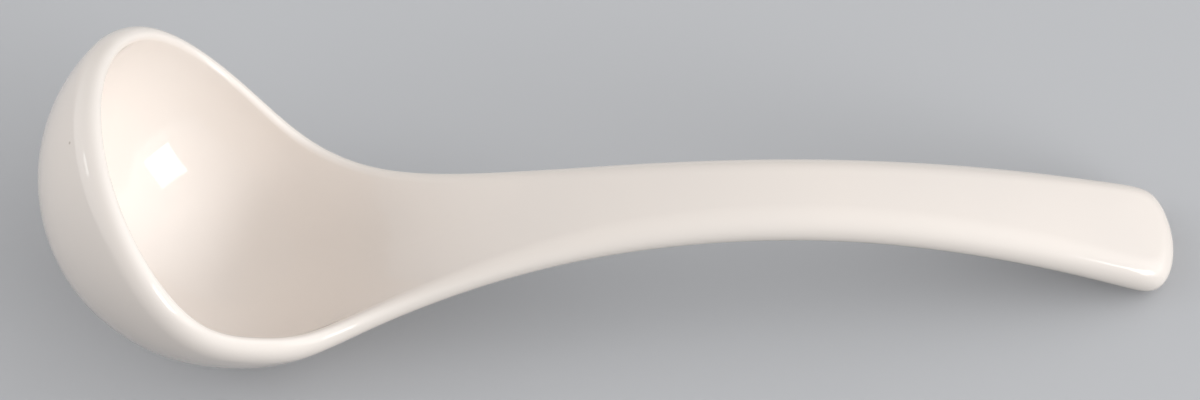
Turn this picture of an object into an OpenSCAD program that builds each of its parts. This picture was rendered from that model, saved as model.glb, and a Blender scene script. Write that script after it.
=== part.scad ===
// Glazed ceramic gravy ladle, as it lies on a table: on the belly of its bowl and the end of its handle.
// The form is a sheet of clay with a soft lip. Ribs run from the keel, the line down the middle of the
// sheet, out to the rim. They fan out round the bowl, close up through the neck and lie flat across the
// handle. One smooth curve carries the rim and the keel through all of them.

/* [Bowl] */
// Radius of the round front of the rim, to the middle of the wall
rim_r = 30; // [28:0.5:32]
// Depth of the bowl below the plane of the rim, to the middle of the wall
bowl_depth = 23.8; // [22:0.2:26]
// Lean of the bowl's axis from upright, towards the handle
bowl_lean = 57; // [54:0.5:60]
// Thickness of the bowl's wall
wall_t = 3.7; // [3:0.1:4.5]

/* [Handle] */
// Length of the ladle over all
length = 190; // [180:1:220]
// Thickness of the handle
handle_t = 7.4; // [6:0.1:9]
// Width of the handle at its waist
waist_w = 14.8; // [12:0.2:18]
// Radius of the long curve of each side of the handle
side_r = 550; // [450:10:900]
// Width of the handle just before its rounded end
end_w = 19.6; // [17:0.2:24]
// Height of the middle of the handle at the crest of its arch
crest_z = 22.7; // [21:0.1:26]
// Radius of the handle's arch, seen from the side
arch_r = 140; // [135:1:160]

/* [Lip] */
// Depth of the lip's rounding, as a share of the thickness of the sheet
lip_share = 0.58; // [0.5:0.02:0.8]

/* [Surface] */
// Steps of the surface from one rib to the next on the bowl and the neck
bowl_steps = 7; // [4:1:8]
// Steps from one rib to the next along the handle
handle_steps = 4; // [3:1:5]
// Steps from one rib to the next round the end of the handle
end_steps = 9; // [5:1:10]
// Steps round the lip, on each face of the sheet
lip_steps = 5; // [3:1:6]
// Steps from the lip to the keel
wall_steps = 9; // [6:1:9]

/* [Hidden] */

// Places are worked out with the front of the bowl at x = 0, and moved to the middle at the end.
// The keel and the rim are control points of a smooth curve, which passes close inside them.
rim_centre = [26.6, 32.5];
out_of_bowl = [sin(bowl_lean), cos(bowl_lean)];
down_rim = [cos(bowl_lean), -sin(bowl_lean)];
belly = rim_centre - bowl_depth * out_of_bowl;
heel = belly + 10 * down_rim;

// Where the handle's arch is highest, where the handle is narrowest, and its first rib
crest_x = 113;
waist_x = 124;
handle_x = 89;
rib_gap = 23;
// How much lower the edges of the handle lie than its middle
crown = 0.3;
// The control point of the tip stands outside the curve that it draws
tip_x = length + 0.6;
// From the tip back to where the end starts to round, to its corner and to the middle of its fan
round_back = 8;
corner_back = 3;
fan_back = 9;
corner_flare = 0.5;

function arch_z(x) = crest_z - pow(x - crest_x, 2) / (2 * arch_r);
function half_w(x) = waist_w / 2 + pow(x - waist_x, 2) / (2 * side_r);

// Each rib: [rim x, half width, rim z, keel x, keel z]
// The front of the bowl is half a circle, and its ribs fan out from the belly.
front_ribs = [for (a = [0 : 30 : 90])
    let (p = rim_centre - rim_r * cos(a) * down_rim)
    [p.x, rim_r * sin(a), p.y, belly.x, belly.y]];
// The shoulders, the low point of the rim, the throat and the neck
neck_ribs = [
    [36, 25.5, 23.5, heel.x, heel.y],
    [44, 20.5, 15.5, 28, -0.3],
    [55.5, 14.5, 14.5, 47.5, 4],
    [70.5, 11, 17, 67, 14.5],
];
handle_ribs = [for (i = [0 : 3])
    let (x = handle_x + i * rib_gap)
    [x, half_w(x), arch_z(x) - crown, x, arch_z(x)]];
function end_rib(back, half, keel_back) =
    [tip_x - back, half, arch_z(tip_x - back), tip_x - keel_back, arch_z(tip_x - keel_back)];
end_ribs = [
    end_rib(round_back, end_w / 2, 14),
    end_rib(corner_back, end_w / 2 + corner_flare, fan_back),
    end_rib(0, 0, fan_back),
];

// The sheet thickens from the bowl's wall to the handle, through the neck
neck_start = 45;
neck_end = 105;
function ease(u) = u * u * (3 - 2 * u);
function sheet_t(x) =
    wall_t + (handle_t - wall_t) * ease(min(max((x - neck_start) / (neck_end - neck_start), 0), 1));

ribs = [for (r = concat(front_ribs, neck_ribs, handle_ribs, end_ribs)) concat(r, sheet_t(r[0]))];
last = len(ribs) - 1;
first_handle = len(front_ribs) + len(neck_ribs);
first_end = first_handle + len(handle_ribs);

// Past the front of the bowl and past the tip, the curve runs on along the other side
function other_side(r) = [for (c = [0 : len(r) - 1]) c == 1 ? -r[c] : r[c]];
function rib(i) = i < 0 ? other_side(ribs[-i]) : i > last ? other_side(ribs[2 * last - i]) : ribs[i];

// A cubic B-spline through the ribs: its place and its direction at t, where rib i is near t = i
function place_weights(u) =
    [pow(1 - u, 3), 3 * pow(u, 3) - 6 * u * u + 4, -3 * pow(u, 3) + 3 * u * u + 3 * u + 1, pow(u, 3)] / 6;
function slope_weights(u) = [-pow(1 - u, 2), 3 * u * u - 4 * u, -3 * u * u + 2 * u + 1, u * u] / 2;
function blend(k, w) = w[0] * rib(k - 1) + w[1] * rib(k) + w[2] * rib(k + 1) + w[3] * rib(k + 2);

// Where several ribs share one keel point, the keel has no direction of its own
still = 0.0001;
tip_run = [ribs[last][3] - ribs[last - 2][3], ribs[last][4] - ribs[last - 2][4]];
flat_bend = 0.05;

// The rib at t: keel point, upward normal of the keel, reach, rise, bend in degrees, length, thickness.
// It is an arc of a circle that leaves the keel square to its normal and ends on the rim.
function section(t) =
    let (
        k = floor(t),
        p = blend(k, place_weights(t - k)),
        d = blend(k, slope_weights(t - k)),
        moving = norm([d[3], d[4]]) > still,
        run = moving ? [d[3], d[4]] : t < last / 2 ? down_rim : tip_run,
        up = [-run.y, 0, run.x] / norm(run),
        keel = [p[3], 0, p[4]],
        chord = [p[0], p[1], p[2]] - keel,
        rise = chord * up,
        reach = chord - rise * up,
        turn = 2 * atan2(rise, norm(reach)),
        bend = abs(turn) < flat_bend ? flat_bend : turn
    )
    [keel, up, reach, rise, bend, norm(reach) * bend * PI / 180 / sin(bend), p[5]];

// Middle of the sheet on rib q, at share s of the way from the keel to the rim
function middle(q, s) =
    q[0] + q[2] * sin(s * q[4]) / sin(q[4]) + q[1] * q[3] * pow(sin(s * q[4] / 2) / sin(q[4] / 2), 2);

// Rows of the surface from the rim inwards: [share of the lip, share of the rest, share of the thickness].
// The lip's section is half an ellipse. The last row stops just short of the keel, and strips close the gap.
keel_gap = 0.03;
rows = concat(
    [for (i = [0 : lip_steps]) let (b = 90 * i / lip_steps) [1 - cos(b), 0, sin(b)]],
    [for (i = [1 : wall_steps]) [1, (1 - keel_gap) * i / wall_steps, 1]]
);
inner = len(rows) - 1;

// Both faces of the sheet along the rib at t: a list of [upper point, lower point], one for each row
nudge = 0.01;
function skin(t) =
    let (q = section(t), before = section(t - nudge), after = section(t + nudge), lip = lip_share * q[6])
    [for (r = rows)
        let (
            s = 1 - (r[0] * lip + r[1] * (q[5] - lip)) / q[5],
            along = middle(after, s) - middle(before, s),
            across = middle(q, s + nudge) - middle(q, s - nudge),
            n = cross(along, across),
            half = q[6] / 2 * r[2] * n / norm(n)
        )
        [middle(q, s) + half, middle(q, s) - half]];

function steps_after(k) = k < first_handle ? bowl_steps : k < first_end - 1 ? handle_steps : end_steps;
stations = concat(
    [for (k = [0 : last - 1]) for (j = [0 : steps_after(k) - 1]) k + j / steps_after(k)],
    last
);
tip = len(stations) - 1;
// The handle joins the bowl at its first rib
joint = first_handle * bowl_steps;
faces_of_sheet = [for (t = stations) skin(t)];

// The ladle is centred over the origin, and rests on small flats ground where it touches the table
flat_depth = 0.15;
all_points = [for (f = faces_of_sheet) for (pair = f) each pair];
front_x = min([for (p = all_points) p.x]);
back_x = max([for (p = all_points) p.x]);
table_z = min([for (p = all_points) p.z]) + flat_depth;
to_middle = -[(front_x + back_x) / 2, 0, table_z];

// Point of column c and row r. Columns run along one side to the closed end and back along the other,
// and rows run over the upper face to the rim and under it.
function skin_point(end, way, c, r) =
    let (
        pair = faces_of_sheet[end + way * abs(c)][abs(inner - r)],
        p = r <= inner ? pair[0] : pair[1]
    )
    [p.x, c < 0 ? -p.y : p.y, p.z] + to_middle;

function quad(a, b, c, d) = [[a, b, c], [a, c, d]];
function flipped(triangles) = [for (f = triangles) [f[0], f[2], f[1]]];

// The sheet from a closed end, which lies on the middle plane, to a flat cut across it.
// end and cut are numbers of stations.
module sheet(end, cut) {
    count = abs(cut - end);
    way = sign(cut - end);
    row_count = 2 * inner + 1;
    function at(c, r) = (c + count) * row_count + r;
    points = [for (c = [-count : count]) for (r = [0 : row_count - 1]) skin_point(end, way, c, r)];
    around = [for (c = [-count : count - 1]) for (r = [0 : row_count - 2])
        each quad(at(c, r), at(c + 1, r), at(c + 1, r + 1), at(c, r + 1))];
    // Strips across the keel, on the upper face and on the lower one
    top_strip = [for (c = [1 : count - 1])
        each quad(at(-c, 0), at(-c - 1, 0), at(c + 1, 0), at(c, 0))];
    top_end = [[at(0, 0), at(-1, 0), at(1, 0)]];
    below = row_count - 1;
    bottom_strip = [for (c = [1 : count - 1])
        each quad(at(-c, below), at(c, below), at(c + 1, below), at(-c - 1, below))];
    bottom_end = [[at(0, below), at(1, below), at(-1, below)]];
    // The cut, from the rim of one side to the rim of the other
    cut_sides = [for (r = [0 : inner - 2])
        each concat(
            quad(at(count, r), at(count, below - r), at(count, below - r - 1), at(count, r + 1)),
            quad(at(-count, r), at(-count, r + 1), at(-count, below - r - 1), at(-count, below - r))
        )];
    cut_rims = [
        [at(count, inner - 1), at(count, inner + 1), at(count, inner)],
        [at(-count, inner - 1), at(-count, inner), at(-count, inner + 1)]
    ];
    cut_middle = quad(at(count, 0), at(-count, 0), at(-count, below), at(count, below));
    triangles = concat(around, top_strip, top_end, bottom_strip, bottom_end, cut_sides, cut_rims, cut_middle);
    polyhedron(points, way < 0 ? triangles : flipped(triangles), convexity = 6);
}

// Everything below the table's surface
module below_table() {
    margin = 20;
    translate([-length / 2 - margin, -rim_r - margin, -margin])
        cube([length + 2 * margin, 2 * (rim_r + margin), margin]);
}

module bowl() {
    color([0.93, 0.9, 0.87])
        difference() {
            sheet(0, joint);
            below_table();
        }
}

module handle() {
    color([0.95, 0.92, 0.89])
        difference() {
            sheet(tip, joint);
            below_table();
        }
}

bowl();
handle();
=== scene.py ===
import math

import bpy
import numpy as np
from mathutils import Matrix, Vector, noise


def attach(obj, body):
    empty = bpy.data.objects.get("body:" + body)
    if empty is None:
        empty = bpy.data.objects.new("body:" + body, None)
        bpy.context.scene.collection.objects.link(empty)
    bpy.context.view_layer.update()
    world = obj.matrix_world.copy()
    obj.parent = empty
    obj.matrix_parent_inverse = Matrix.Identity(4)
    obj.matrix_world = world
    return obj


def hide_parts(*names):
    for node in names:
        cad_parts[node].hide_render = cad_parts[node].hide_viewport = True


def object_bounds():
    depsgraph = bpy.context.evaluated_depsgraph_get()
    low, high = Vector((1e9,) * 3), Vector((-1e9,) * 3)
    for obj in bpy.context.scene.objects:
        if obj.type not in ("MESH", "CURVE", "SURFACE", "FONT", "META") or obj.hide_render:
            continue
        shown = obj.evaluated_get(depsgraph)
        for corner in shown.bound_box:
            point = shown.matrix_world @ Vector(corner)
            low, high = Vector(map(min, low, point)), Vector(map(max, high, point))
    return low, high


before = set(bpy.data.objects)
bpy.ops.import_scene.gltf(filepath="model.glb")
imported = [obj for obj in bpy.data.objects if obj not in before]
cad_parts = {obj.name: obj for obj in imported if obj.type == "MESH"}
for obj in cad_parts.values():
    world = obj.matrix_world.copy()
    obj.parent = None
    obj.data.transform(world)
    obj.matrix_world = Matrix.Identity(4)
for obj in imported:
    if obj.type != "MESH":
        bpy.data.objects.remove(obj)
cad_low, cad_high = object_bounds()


# The bowl: the round end of the ladle, in cream-white earthenware cast from slip in a plaster mould.
# Its rim leans forward and is wiped round with a sponge before the firing. The throat behind it runs
# into the handle in the same clay, so nothing fixes one to the other.

MM = 0.001
BOWL_RIM_RADIUS = 30
BOWL_DEPTH = 23.8
BOWL_LEAN = math.radians(57)
BOWL_WALL = 3.7
LADLE_LENGTH = 190

# Places on the plane of symmetry are (x, z) in millimetres, from the front of the rim and the table
RIM_CENTRE = np.array([26.6, 32.5])
DOWN_THE_RIM = np.array([math.cos(BOWL_LEAN), -math.sin(BOWL_LEAN)])
OUT_OF_BOWL = np.array([math.sin(BOWL_LEAN), math.cos(BOWL_LEAN)])
BELLY = RIM_CENTRE - BOWL_DEPTH * OUT_OF_BOWL
HEEL = BELLY + 10 * DOWN_THE_RIM

BOWL_RIB_TURN = 30
THROAT_RIBS = [
    (36, 25.5, 23.5, *HEEL),
    (44, 20.5, 15.5, 28, -0.3),
    (55.5, 14.5, 14.5, 47.5, 4),
    (70.5, 11, 17, 67, 14.5),
]


def bowl_ribs():
    """One row for each rib of the bowl and its throat: rim x, half width, rim z, keel x, keel z."""
    rows = []
    for step in range(4):
        angle = math.radians(BOWL_RIB_TURN * step)
        x, z = RIM_CENTRE - BOWL_RIM_RADIUS * math.cos(angle) * DOWN_THE_RIM
        rows.append((x, BOWL_RIM_RADIUS * math.sin(angle), z, *BELLY))
    return rows + THROAT_RIBS


# The handle: a flat tongue of the same clay that rises from the throat, arches over a crest and comes
# down to a rounded end. It is cast in one with the bowl and twice as thick, and its sides draw in to a
# waist. Its top is nearly flat.

HANDLE_THICKNESS = 7.4
CREST = (113, 22.7)
ARCH_RADIUS = 140
HANDLE_WAIST = (124, 14.8)
HANDLE_SIDE_RADIUS = 550
HANDLE_END_WIDTH = 19.6
HANDLE_FIRST_RIB = 89
HANDLE_RIB_GAP = 23
HANDLE_CROWN = 0.3
TIP_X = LADLE_LENGTH + 0.6


def arch_height(x):
    return CREST[1] - (x - CREST[0]) ** 2 / (2 * ARCH_RADIUS)


def handle_half_width(x):
    return HANDLE_WAIST[1] / 2 + (x - HANDLE_WAIST[0]) ** 2 / (2 * HANDLE_SIDE_RADIUS)


def handle_ribs():
    """The ribs of the handle, in rows like those of the bowl."""
    rows = []
    for step in range(4):
        x = HANDLE_FIRST_RIB + step * HANDLE_RIB_GAP
        rows.append((x, handle_half_width(x), arch_height(x) - HANDLE_CROWN, x, arch_height(x)))
    for back, half_width, keel_back in (
        (8, HANDLE_END_WIDTH / 2, 14),
        (3, HANDLE_END_WIDTH / 2 + 0.5, 9),
        (0, 0, 9),
    ):
        x, keel_x = TIP_X - back, TIP_X - keel_back
        rows.append((x, half_width, arch_height(x), keel_x, arch_height(keel_x)))
    return rows


# The sheet of clay that both are: it thickens along the neck, and smooth curves run through all its ribs
NECK_START = 45
NECK_LENGTH = 60


def sheet_thickness(x):
    share = min(max((x - NECK_START) / NECK_LENGTH, 0), 1)
    return BOWL_WALL + (HANDLE_THICKNESS - BOWL_WALL) * share * share * (3 - 2 * share)


RIBS = np.array([(*row, sheet_thickness(row[0])) for row in bowl_ribs() + handle_ribs()])
LAST_RIB = len(RIBS) - 1
JOINT_RIB = 8


def smooth_run(t):
    """The rib at each t and its rate of change, on a cubic B-spline that runs on past both ends."""
    other_side = np.array([1, -1, 1, 1, 1, 1])
    rows = np.vstack([
        RIBS[2:0:-1] * other_side,
        RIBS,
        RIBS[-2:-4:-1] * other_side,
    ])
    first = np.floor(t).astype(int) + 1
    u = (t - np.floor(t))[:, None]
    near = [rows[first + k] for k in range(4)]
    place = ((1 - u) ** 3, 3 * u**3 - 6 * u**2 + 4, -3 * u**3 + 3 * u**2 + 3 * u + 1, u**3)
    slope = (-((1 - u) ** 2), 3 * u**2 - 4 * u, -3 * u**2 + 2 * u + 1, u**2)
    return (
        sum(w * row for w, row in zip(place, near)) / 6,
        sum(w * row for w, row in zip(slope, near)) / 2,
    )


def rib_arcs(t):
    """The arc of each rib: keel point, upward normal, reach, rise and bend."""
    row, rate = smooth_run(t)
    flat = np.zeros(len(t))
    keel = np.stack([row[:, 3], flat, row[:, 4]], 1)
    run = rate[:, 3:5].copy()
    still = np.hypot(run[:, 0], run[:, 1]) < 1e-4
    run[still & (t < LAST_RIB / 2)] = DOWN_THE_RIM
    run[still & (t > LAST_RIB / 2)] = RIBS[-1, 3:5] - RIBS[-3, 3:5]
    run /= np.linalg.norm(run, axis=1)[:, None]
    up = np.stack([-run[:, 1], flat, run[:, 0]], 1)
    chord = row[:, :3] - keel
    rise = (chord * up).sum(1)
    reach = chord - rise[:, None] * up
    bend = 2 * np.arctan2(rise, np.linalg.norm(reach, axis=1))
    bend = np.where(np.abs(bend) < 1e-3, 1e-3, bend)
    return keel, up, reach, rise, bend, row[:, 5]


def on_arcs(arcs, share):
    """Points of the middle of the sheet. share is 0 at the keel and 1 at the rim, one row for each rib."""
    keel, up, reach, rise, bend, _ = arcs
    bend = bend[:, None]
    out = np.sin(share * bend) / np.sin(bend)
    lift = (np.sin(share * bend / 2) / np.sin(bend / 2)) ** 2 * rise[:, None]
    return keel[:, None] + out[..., None] * reach[:, None] + lift[..., None] * up[:, None]


# The section of the lip is two quarters of an ellipse that meet at its edge. On the bowl the edge stands
# near the inner face, with a tight turn inside and a wide one outside. Along the handle both are alike.
BOWL_LIP = {"edge": 0.45, "inside": 1.1, "outside": 3.7}
HANDLE_LIP = {"edge": 0, "inside": 4.3, "outside": 4.3}


def lip_measure(name, handle_share):
    return BOWL_LIP[name] + (HANDLE_LIP[name] - BOWL_LIP[name]) * handle_share


def sheet_face(t, name, way, lip_steps, wall_steps):
    """One face of one half of the sheet: points[rib, row] from the edge of the lip to the keel."""
    arcs = rib_arcs(t)
    keel, up, reach, rise, bend, thickness = arcs
    handle_share = (thickness - BOWL_WALL) / (HANDLE_THICKNESS - BOWL_WALL)
    edge = lip_measure("edge", handle_share)[:, None]
    lip = lip_measure(name, handle_share)[:, None]
    angle = np.radians(90) * np.arange(lip_steps + 1) / lip_steps
    swell = np.concatenate([np.sin(angle), np.ones(wall_steps)])
    lip_part = np.concatenate([1 - np.cos(angle), np.ones(wall_steps)])
    wall_part = np.concatenate([np.zeros(lip_steps + 1), np.arange(1, wall_steps + 1) / wall_steps])
    arc_length = (np.linalg.norm(reach, axis=1) * bend / np.sin(bend))[:, None]
    share = 1 - (lip_part * lip + wall_part * (arc_length - lip)) / arc_length
    nudge = 0.01
    along = on_arcs(rib_arcs(t + nudge), share) - on_arcs(rib_arcs(t - nudge), share)
    across = on_arcs(arcs, share + nudge) - on_arcs(arcs, share - nudge)
    normal = np.cross(along, across)
    at_keel = share < 1e-6
    normal[at_keel] = np.broadcast_to(up[:, None], normal.shape)[at_keel]
    normal /= np.linalg.norm(normal, axis=2)[..., None]
    offset = edge + (way - edge) * swell
    return on_arcs(arcs, share) + normal * (offset * thickness[:, None] / 2)[..., None]


# The whole skin of the ladle: points[side, rib, row], then one list of vertices in which the points that
# the two sides share, on the keel and at both ends, are one
STEPS_BETWEEN_RIBS = 22
LIP_STEPS = 12
WALL_STEPS = 40
REST_DEPTH = 0.15
rib_places = np.arange(LAST_RIB * STEPS_BETWEEN_RIBS + 1) / STEPS_BETWEEN_RIBS
inner_face = sheet_face(rib_places, "inside", 1, LIP_STEPS, WALL_STEPS)
outer_face = sheet_face(rib_places, "outside", -1, LIP_STEPS, WALL_STEPS)
near_side = np.concatenate([inner_face[:, ::-1], outer_face[:, 1:]], 1)
middle_x = (near_side[..., 0].min() + near_side[..., 0].max()) / 2
near_side[..., 0] += (cad_low.x + cad_high.x) / 2 / MM - middle_x
near_side[..., 2] -= near_side[..., 2].min() + REST_DEPTH
points = np.stack([near_side, near_side * (1, -1, 1)]) * MM
_, first_use, vertex_of = np.unique(
    np.round(points.reshape(-1, 3), 6), axis=0, return_index=True, return_inverse=True
)
welded = points.reshape(-1, 3)[first_use]
vertex_of = vertex_of.reshape(points.shape[:3])
RIM_ROW = points.shape[2] // 2


def without_repeats(corners):
    return [c for i, c in enumerate(corners) if c != corners[i - 1]]


def skin_faces(first, last):
    """The faces of the skin between two columns of points, on both sides, turned outwards."""
    faces = []
    for side in (0, 1):
        v = vertex_of[side]
        for i in range(first, last):
            for r in range(points.shape[2] - 1):
                around = (v[i, r], v[i, r + 1], v[i + 1, r + 1], v[i + 1, r])
                corners = without_repeats([int(c) for c in around])
                if len(corners) > 2:
                    faces.append(corners[::-1] if side == 0 else corners)
    return faces


def cut_faces(column, toward_tip):
    """The flat faces across the sheet where the two pieces meet."""
    faces = []
    for side in (0, 1):
        v = vertex_of[side, column]
        for r in range(RIM_ROW):
            around = (v[r], v[r + 1], v[-2 - r], v[-1 - r])
            corners = without_repeats([int(c) for c in around])
            faces.append(corners[::-1] if (side == 0) == toward_tip else corners)
    return faces


def skin_normals():
    """The smooth normals of the whole closed skin, so that no seam shows where the pieces meet."""
    whole = bpy.data.meshes.new("whole_skin")
    whole.from_pydata(welded, [], skin_faces(0, points.shape[1] - 1))
    normals = np.array([n.vector for n in whole.vertex_normals])
    bpy.data.meshes.remove(whole)
    return normals


# Hand finishing leaves the surface very slightly uneven. The hollows only go inwards, so the sizes hold.
UNEVEN_DEPTH = 0.05 * MM
UNEVEN_PER_METRE = 70
hollows = np.array([noise.noise(Vector(p) * UNEVEN_PER_METRE) for p in welded])
welded -= skin_normals() * (UNEVEN_DEPTH * (0.5 + 0.5 * hollows))[:, None]
welded[:, 2] = np.maximum(welded[:, 2], 0)
welded_normals = skin_normals()

# Where the lip is painted paler over its turn, partly for thin glaze and partly as a painted sheen along
# the lip, and where the glaze is ground away, on the two rest spots
thin_glaze_and_lip_sheen = np.zeros(len(welded))
row_from_rim = np.abs(np.arange(points.shape[2]) - RIM_ROW)
thin_glaze_and_lip_sheen[vertex_of] = np.maximum(0, 1 - row_from_rim / LIP_STEPS)[None, None, :]
bare_clay = (welded[:, 2] < 0.01 * MM).astype(float)
joint = JOINT_RIB * STEPS_BETWEEN_RIBS


def ladle_piece(name, skin, cut, node):
    used, corners = np.unique([c for face in skin + cut for c in face], return_inverse=True)
    sizes = [len(face) for face in skin + cut]
    starts = np.concatenate([[0], np.cumsum(sizes)])
    faces = [corners[a:b].tolist() for a, b in zip(starts[:-1], starts[1:])]
    mesh = bpy.data.meshes.new(name)
    mesh.from_pydata(welded[used], [], faces)
    mesh.shade_smooth()
    loop_normals = welded_normals[used][corners]
    cut_start = starts[len(skin)]
    cut_normal = mesh.polygons[len(skin)].normal
    loop_normals[cut_start:] = cut_normal
    mesh.normals_split_custom_set(loop_normals)
    for attribute, values in (("thin_glaze_and_lip_sheen", thin_glaze_and_lip_sheen), ("bare_clay", bare_clay)):
        mesh.attributes.new(attribute, "FLOAT", "POINT").data.foreach_set("value", values[used])
    piece = bpy.data.objects.new(name, mesh)
    bpy.context.scene.collection.objects.link(piece)
    mesh.materials.append(glaze)
    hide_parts(node)
    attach(piece, "root")


# The clear glaze over the whole ladle
glaze = bpy.data.materials.new("clear_gloss_glaze")
glaze.use_nodes = True
nodes, links = glaze.node_tree.nodes, glaze.node_tree.links
glaze_shader = nodes["Principled BSDF"]
glaze_shader.inputs["IOR"].default_value = 1.52
place = nodes.new("ShaderNodeTexCoord").outputs["Object"]


def glaze_noise(per_metre, detail):
    texture = nodes.new("ShaderNodeTexNoise")
    texture.inputs["Scale"].default_value = per_metre
    texture.inputs["Detail"].default_value = detail
    links.new(place, texture.inputs["Vector"])
    return texture.outputs["Fac"]


def glaze_range(value, start, end, low, high):
    node = nodes.new("ShaderNodeMapRange")
    links.new(value, node.inputs["Value"])
    for name, number in (("From Min", start), ("From Max", end), ("To Min", low), ("To Max", high)):
        node.inputs[name].default_value = number
    return node.outputs["Result"]


def glaze_mix(share, colour_a, colour_b):
    node = nodes.new("ShaderNodeMix")
    node.data_type = "RGBA"
    links.new(share, node.inputs["Factor"])
    for socket, colour in ((node.inputs["A"], colour_a), (node.inputs["B"], colour_b)):
        if isinstance(colour, tuple):
            socket.default_value = (*colour, 1)
        else:
            links.new(colour, socket)
    return node.outputs["Result"]


def clay_share(name, most):
    node = nodes.new("ShaderNodeAttribute")
    node.attribute_name = name
    return glaze_range(node.outputs["Fac"], 0, 1, 0, most)


# The body under the clear glaze is a warm white that drifts a little. It is painted paler over the turn of
# the lip, partly for thin glaze and partly as a painted sheen.
# A few specks of iron show through it.
CREAM = (0.885, 0.812, 0.752)
ROSE_WHITE = (0.855, 0.790, 0.738)
THIN_GLAZE_AND_SHEEN_WHITE = (0.905, 0.850, 0.795)
IRON = (0.42, 0.34, 0.27)
BISCUIT = (0.78, 0.68, 0.56)
drift = glaze_range(glaze_noise(35, 2), 0.3, 0.7, 0, 1)
# Painted sheen: the lip is mixed towards a paler white, partly for thin glaze and partly standing in for
# the light along its turn
colour = glaze_mix(clay_share("thin_glaze_and_lip_sheen", 0.6), glaze_mix(drift, CREAM, ROSE_WHITE), THIN_GLAZE_AND_SHEEN_WHITE)
specks = nodes.new("ShaderNodeTexVoronoi")
specks.inputs["Scale"].default_value = 105
links.new(place, specks.inputs["Vector"])
speck_share = glaze_range(specks.outputs["Distance"], 0.018, 0.034, 0.55, 0)
colour = glaze_mix(speck_share, colour, IRON)
colour = glaze_mix(clay_share("bare_clay", 1), colour, BISCUIT)
links.new(colour, glaze_shader.inputs["Base Color"])

gloss = glaze_range(glaze_noise(120, 3), 0.3, 0.7, 0.05, 0.085)
roughness = nodes.new("ShaderNodeMath")
roughness.operation = "MAXIMUM"
links.new(gloss, roughness.inputs[0])
links.new(clay_share("bare_clay", 0.8), roughness.inputs[1])
links.new(roughness.outputs["Value"], glaze_shader.inputs["Roughness"])

# The melted glaze lies in very low waves, with a finer orange peel on them
WAVE_HEIGHT = 0.03 * MM
ripple = nodes.new("ShaderNodeMath")
ripple.operation = "MULTIPLY_ADD"
links.new(glaze_noise(900, 2), ripple.inputs[0])
ripple.inputs[1].default_value = 0.02
links.new(glaze_noise(150, 1), ripple.inputs[2])
relief = nodes.new("ShaderNodeBump")
relief.inputs["Strength"].default_value = 1
relief.inputs["Distance"].default_value = WAVE_HEIGHT
links.new(ripple.outputs["Value"], relief.inputs["Height"])
links.new(relief.outputs["Normal"], glaze_shader.inputs["Normal"])

ladle_piece("ladle_bowl", skin_faces(0, joint), cut_faces(joint, True), "bowl")
ladle_piece("ladle_handle", skin_faces(joint, points.shape[1] - 1), cut_faces(joint, False), "handle")


# The table: a plain pale top, a hair below the two spots that the ladle rests on

FLOOR_HALF = 4
FLOOR_GAP = 0.02 * MM
floor_mesh = bpy.data.meshes.new("table")
floor_corners = [
    (-FLOOR_HALF, -FLOOR_HALF, -FLOOR_GAP),
    (FLOOR_HALF, -FLOOR_HALF, -FLOOR_GAP),
    (FLOOR_HALF, FLOOR_HALF, -FLOOR_GAP),
    (-FLOOR_HALF, FLOOR_HALF, -FLOOR_GAP),
]
floor_mesh.from_pydata(floor_corners, [], [(0, 1, 2, 3)])
floor = bpy.data.objects.new("table", floor_mesh)
bpy.context.scene.collection.objects.link(floor)
floor_colour = bpy.data.materials.new("table")
floor_colour.use_nodes = True
nodes, links = floor_colour.node_tree.nodes, floor_colour.node_tree.links
floor_shader = nodes["Principled BSDF"]
floor_shader.inputs["Roughness"].default_value = 0.9
# Seen straight on or in the glaze the table is pale, but it throws little light up at the ladle
rays = nodes.new("ShaderNodeLightPath")
seen = nodes.new("ShaderNodeMath")
seen.operation = "MAXIMUM"
links.new(rays.outputs["Is Camera Ray"], seen.inputs[0])
links.new(rays.outputs["Is Glossy Ray"], seen.inputs[1])
table_colour = nodes.new("ShaderNodeMix")
table_colour.data_type = "RGBA"
table_colour.inputs["A"].default_value = (0.12, 0.12, 0.125, 1)
table_colour.inputs["B"].default_value = (0.55, 0.56, 0.58, 1)
links.new(seen.outputs["Value"], table_colour.inputs["Factor"])
links.new(table_colour.outputs["Result"], floor_shader.inputs["Base Color"])
floor_mesh.materials.append(floor_colour)


# The studio: a dim room with broad soft glows on some sides, and two rectangular softboxes

world = bpy.data.worlds.new("studio")
bpy.context.scene.world = world
world.use_nodes = True
nodes, links = world.node_tree.nodes, world.node_tree.links
background = nodes["Background"]
background.inputs["Color"].default_value = (1, 1, 1, 1)
direction = nodes.new("ShaderNodeTexCoord").outputs["Generated"]


def math_node(operation, a, b):
    node = nodes.new("ShaderNodeMath")
    node.operation = operation
    for socket, value in zip(node.inputs, (a, b)):
        if isinstance(value, (int, float)):
            socket.default_value = value
        else:
            links.new(value, socket)
    return node.outputs["Value"]


def glow(level, x, y, z):
    """A broad soft glow of the room towards (x, y, z)."""
    toward = nodes.new("ShaderNodeVectorMath")
    toward.operation = "DOT_PRODUCT"
    links.new(direction, toward.inputs[0])
    toward.inputs[1].default_value = Vector((x, y, z)).normalized()
    facing = math_node("MAXIMUM", toward.outputs["Value"], 0)
    return math_node("MULTIPLY", math_node("POWER", facing, 2), level)


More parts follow.
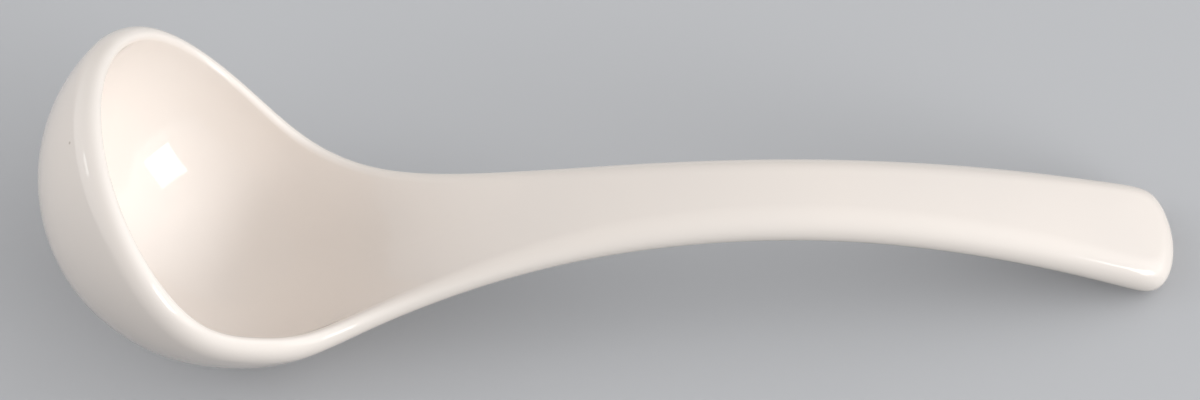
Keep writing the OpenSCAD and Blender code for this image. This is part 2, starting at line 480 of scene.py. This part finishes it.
EVEN_LIGHT = 0.02
room = EVEN_LIGHT
for side in (
    glow(1.2, 1, 0, 0.5),
    glow(0.4, 1, 0, 0),
    glow(1.6, -1, 0, 0),
    glow(1.1, 1, -1, 0),
    glow(0.5, -0.7, 0.7, 0.5),
):
    room = math_node("ADD", room, side)
links.new(room, background.inputs["Strength"])


def softbox(name, azimuth, elevation, distance, width, height, power):
    """A rectangular soft light that faces the ladle. Azimuth is from +Y towards +X, in degrees."""
    az, el = math.radians(azimuth), math.radians(elevation)
    way = Vector((math.sin(az) * math.cos(el), math.cos(az) * math.cos(el), math.sin(el)))
    data = bpy.data.lights.new(name, "AREA")
    data.shape = "RECTANGLE"
    data.size, data.size_y = width, height
    data.energy = power
    lamp = bpy.data.objects.new(name, data)
    bpy.context.scene.collection.objects.link(lamp)
    lamp.location = way * distance
    lamp.rotation_euler = (-way).to_track_quat("-Z", "Y").to_euler()
    lamp.visible_camera = False


SOFTBOX_DISTANCE = 0.9
softbox("key_softbox", 130, 17, SOFTBOX_DISTANCE, width=0.36, height=0.24, power=1.7)
softbox("rim_softbox", -88, 36, SOFTBOX_DISTANCE, width=0.2, height=0.14, power=0.3)


# The camera, fitted to the outline in the photo: one metre away, with its focal length in pixels
PHOTO_WIDTH = 1200
FOCAL_PIXELS = 6010
AIM = Vector((-2.446, 0, 24.019)) * MM
camera_data = bpy.data.cameras.new("camera")
camera = bpy.data.objects.new("camera", camera_data)
bpy.context.scene.collection.objects.link(camera)
camera_azimuth, camera_elevation = math.radians(-3.23), math.radians(55.948)
toward_camera = Vector((
    math.cos(camera_elevation) * math.sin(camera_azimuth),
    -math.cos(camera_elevation) * math.cos(camera_azimuth),
    math.sin(camera_elevation),
))
camera.location = AIM + toward_camera
camera.rotation_euler = (-toward_camera).to_track_quat("-Z", "Y").to_euler()
camera_data.sensor_fit = "HORIZONTAL"
camera_data.sensor_width = 36
camera_data.lens = camera_data.sensor_width * FOCAL_PIXELS / PHOTO_WIDTH
bpy.context.scene.camera = camera
bpy.context.scene.view_settings.view_transform = "Standard"
